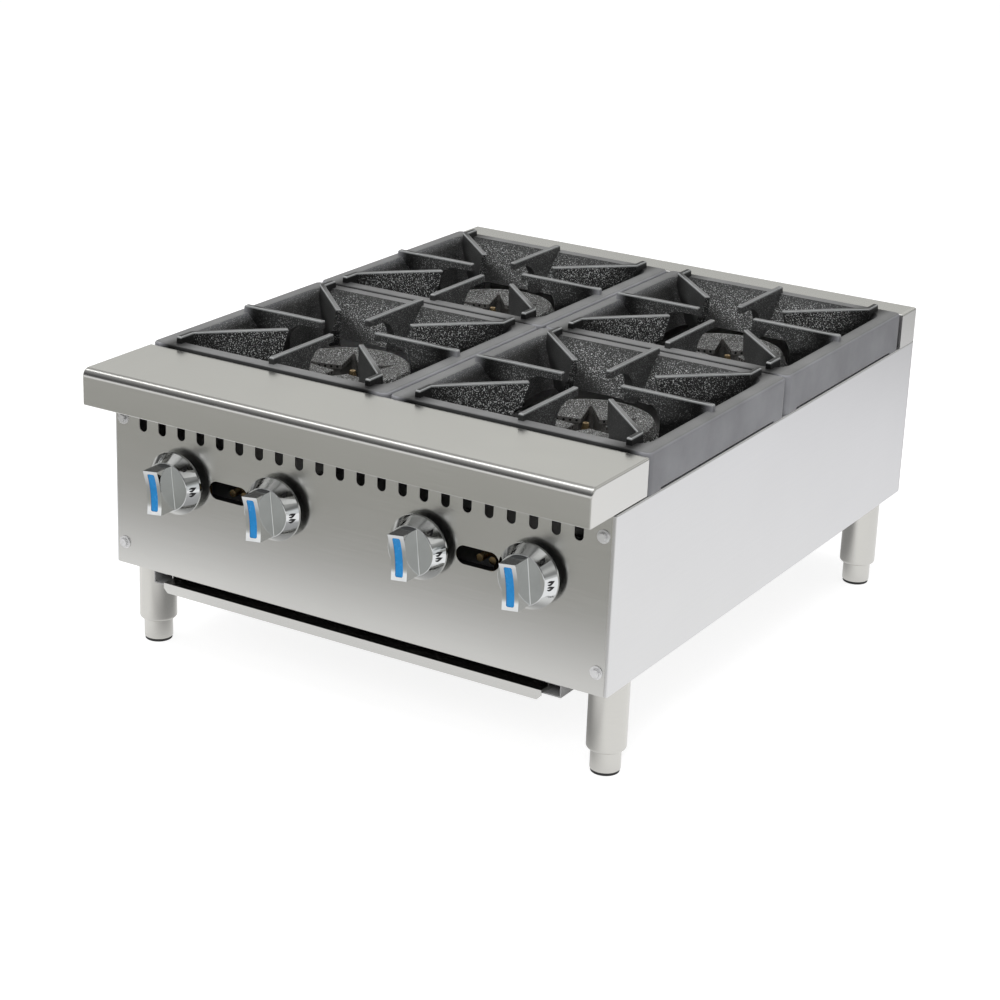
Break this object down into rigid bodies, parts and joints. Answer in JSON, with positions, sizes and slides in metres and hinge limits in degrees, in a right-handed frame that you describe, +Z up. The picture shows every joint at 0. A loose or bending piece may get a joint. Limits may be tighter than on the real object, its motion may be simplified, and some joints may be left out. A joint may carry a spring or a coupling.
{
  "type": "countertop gas stove",
  "caption": "Countertop gas hot plate with lift-off cast grates over open burners, control knobs on a vented front panel, a pull-out drip tray and adjustable legs.",
  "frame": {"origin": "centre of the bounding box on the counter plane under the feet", "axes": "+X to the right seen from the knobs, +Y to the rear, +Z up"},
  "size_m": [0.61, 0.816, 0.344],
  "materials": {
    "stainless_skin": "satin brushed stainless sheet",
    "galvanised_sheet": "plain plated sheet",
    "screw_steel": "bright plated steel",
    "leg_steel": "satin turned tube",
    "foot_plastic": "black moulded pad",
    "grate_iron": "rough dark cast iron with light flecks",
    "burner_iron": "dull cast iron",
    "valve_brass": "machined brass",
    "pilot_aluminium": "drawn tube",
    "black_pipe": "black steel pipe",
    "knob_chrome": "polished chrome",
    "knob_blue": "glossy blue inlay"
  },
  "bodies": {
    "chassis": {"air_shutters": "galvanised_sheet", "back_rail": "stainless_skin", "base_crossmembers": "galvanised_sheet", "burner_base_front_left": "burner_iron", "burner_base_front_right": "burner_iron", "burner_base_rear_left": "burner_iron", "burner_base_rear_right": "burner_iron", "burner_supports": "galvanised_sheet", "front_panel": "stainless_skin", "front_rail": "stainless_skin", "gas_inlet_pipe": "black_pipe", "gas_manifold": "black_pipe", "gas_valves": "valve_brass", "grate_centre_rail": "galvanised_sheet", "heat_shield": "galvanised_sheet", "leg_front_left": "leg_steel", "leg_front_right": "leg_steel", "leg_gussets": "galvanised_sheet", "leg_rear_left": "leg_steel", "leg_rear_right": "leg_steel", "manifold_brackets": "galvanised_sheet", "panel_screws": "screw_steel", "pilot_burners": "valve_brass", "pilot_tubes": "pilot_aluminium", "pilot_valves": "valve_brass", "rear_panel": "galvanised_sheet", "side_panel_left": "stainless_skin", "side_panel_right": "stainless_skin", "tray_guides": "galvanised_sheet"},
    "knob_front_left": {"knob_front_left": "knob_chrome", "knob_insert_front_left": "knob_blue", "valve_stem_front_left": "screw_steel"},
    "knob_front_right": {"knob_front_right": "knob_chrome", "knob_insert_front_right": "knob_blue", "valve_stem_front_right": "screw_steel"},
    "knob_rear_left": {"knob_rear_left": "knob_chrome", "knob_insert_rear_left": "knob_blue", "valve_stem_rear_left": "screw_steel"},
    "knob_rear_right": {"knob_rear_right": "knob_chrome", "knob_insert_rear_right": "knob_blue", "valve_stem_rear_right": "screw_steel"},
    "grate_front_left": {"grate_front_left": "grate_iron"},
    "grate_front_right": {"grate_front_right": "grate_iron"},
    "grate_rear_left": {"grate_rear_left": "grate_iron"},
    "grate_rear_right": {"grate_rear_right": "grate_iron"},
    "burner_head_front_left": {"burner_head_front_left": "burner_iron"},
    "burner_head_front_right": {"burner_head_front_right": "burner_iron"},
    "burner_head_rear_left": {"burner_head_rear_left": "burner_iron"},
    "burner_head_rear_right": {"burner_head_rear_right": "burner_iron"},
    "drip_tray": {"drip_tray": "galvanised_sheet"},
    "foot_front_left": {"foot_front_left": "leg_steel", "foot_pad_front_left": "foot_plastic"},
    "foot_front_right": {"foot_front_right": "leg_steel", "foot_pad_front_right": "foot_plastic"},
    "foot_rear_left": {"foot_rear_left": "leg_steel", "foot_pad_rear_left": "foot_plastic"},
    "foot_rear_right": {"foot_rear_right": "leg_steel", "foot_pad_rear_right": "foot_plastic"}
  },
  "joints": [
    {"name": "knob_turn_front_left", "type": "hinge", "parent": "chassis", "child": "knob_front_left", "pos_m": [-0.089, -0.357, 0.2125], "axis": [0, -1, 0], "range_deg": [0, 90]},
    {"name": "knob_turn_front_right", "type": "hinge", "parent": "chassis", "child": "knob_front_right", "pos_m": [0.089, -0.357, 0.2125], "axis": [0, -1, 0], "range_deg": [0, 90]},
    {"name": "knob_turn_rear_left", "type": "hinge", "parent": "chassis", "child": "knob_rear_left", "pos_m": [-0.217, -0.357, 0.2125], "axis": [0, -1, 0], "range_deg": [0, 90]},
    {"name": "knob_turn_rear_right", "type": "hinge", "parent": "chassis", "child": "knob_rear_right", "pos_m": [0.217, -0.357, 0.2125], "axis": [0, -1, 0], "range_deg": [0, 90]},
    {"name": "grate_lift_front_left", "type": "slide", "parent": "chassis", "child": "grate_front_left", "axis": [0, 0, 1], "range_m": [0, 0.12]},
    {"name": "grate_lift_front_right", "type": "slide", "parent": "chassis", "child": "grate_front_right", "axis": [0, 0, 1], "range_m": [0, 0.12]},
    {"name": "grate_lift_rear_left", "type": "slide", "parent": "chassis", "child": "grate_rear_left", "axis": [0, 0, 1], "range_m": [0, 0.12]},
    {"name": "grate_lift_rear_right", "type": "slide", "parent": "chassis", "child": "grate_rear_right", "axis": [0, 0, 1], "range_m": [0, 0.12]},
    {"name": "burner_head_lift_front_left", "type": "slide", "parent": "chassis", "child": "burner_head_front_left", "axis": [0, 0, 1], "range_m": [0, 0.03]},
    {"name": "burner_head_lift_front_right", "type": "slide", "parent": "chassis", "child": "burner_head_front_right", "axis": [0, 0, 1], "range_m": [0, 0.03]},
    {"name": "burner_head_lift_rear_left", "type": "slide", "parent": "chassis", "child": "burner_head_rear_left", "axis": [0, 0, 1], "range_m": [0, 0.03]},
    {"name": "burner_head_lift_rear_right", "type": "slide", "parent": "chassis", "child": "burner_head_rear_right", "axis": [0, 0, 1], "range_m": [0, 0.03]},
    {"name": "drip_tray_slide", "type": "slide", "parent": "chassis", "child": "drip_tray", "axis": [0, -1, 0], "range_m": [0, 0.6]},
    {"name": "foot_level_front_left", "type": "slide", "parent": "chassis", "child": "foot_front_left", "axis": [0, 0, -1], "range_m": [0, 0.02]},
    {"name": "foot_level_front_right", "type": "slide", "parent": "chassis", "child": "foot_front_right", "axis": [0, 0, -1], "range_m": [0, 0.02]},
    {"name": "foot_level_rear_left", "type": "slide", "parent": "chassis", "child": "foot_rear_left", "axis": [0, 0, -1], "range_m": [0, 0.02]},
    {"name": "foot_level_rear_right", "type": "slide", "parent": "chassis", "child": "foot_rear_right", "axis": [0, 0, -1], "range_m": [0, 0.02]}
  ]
}
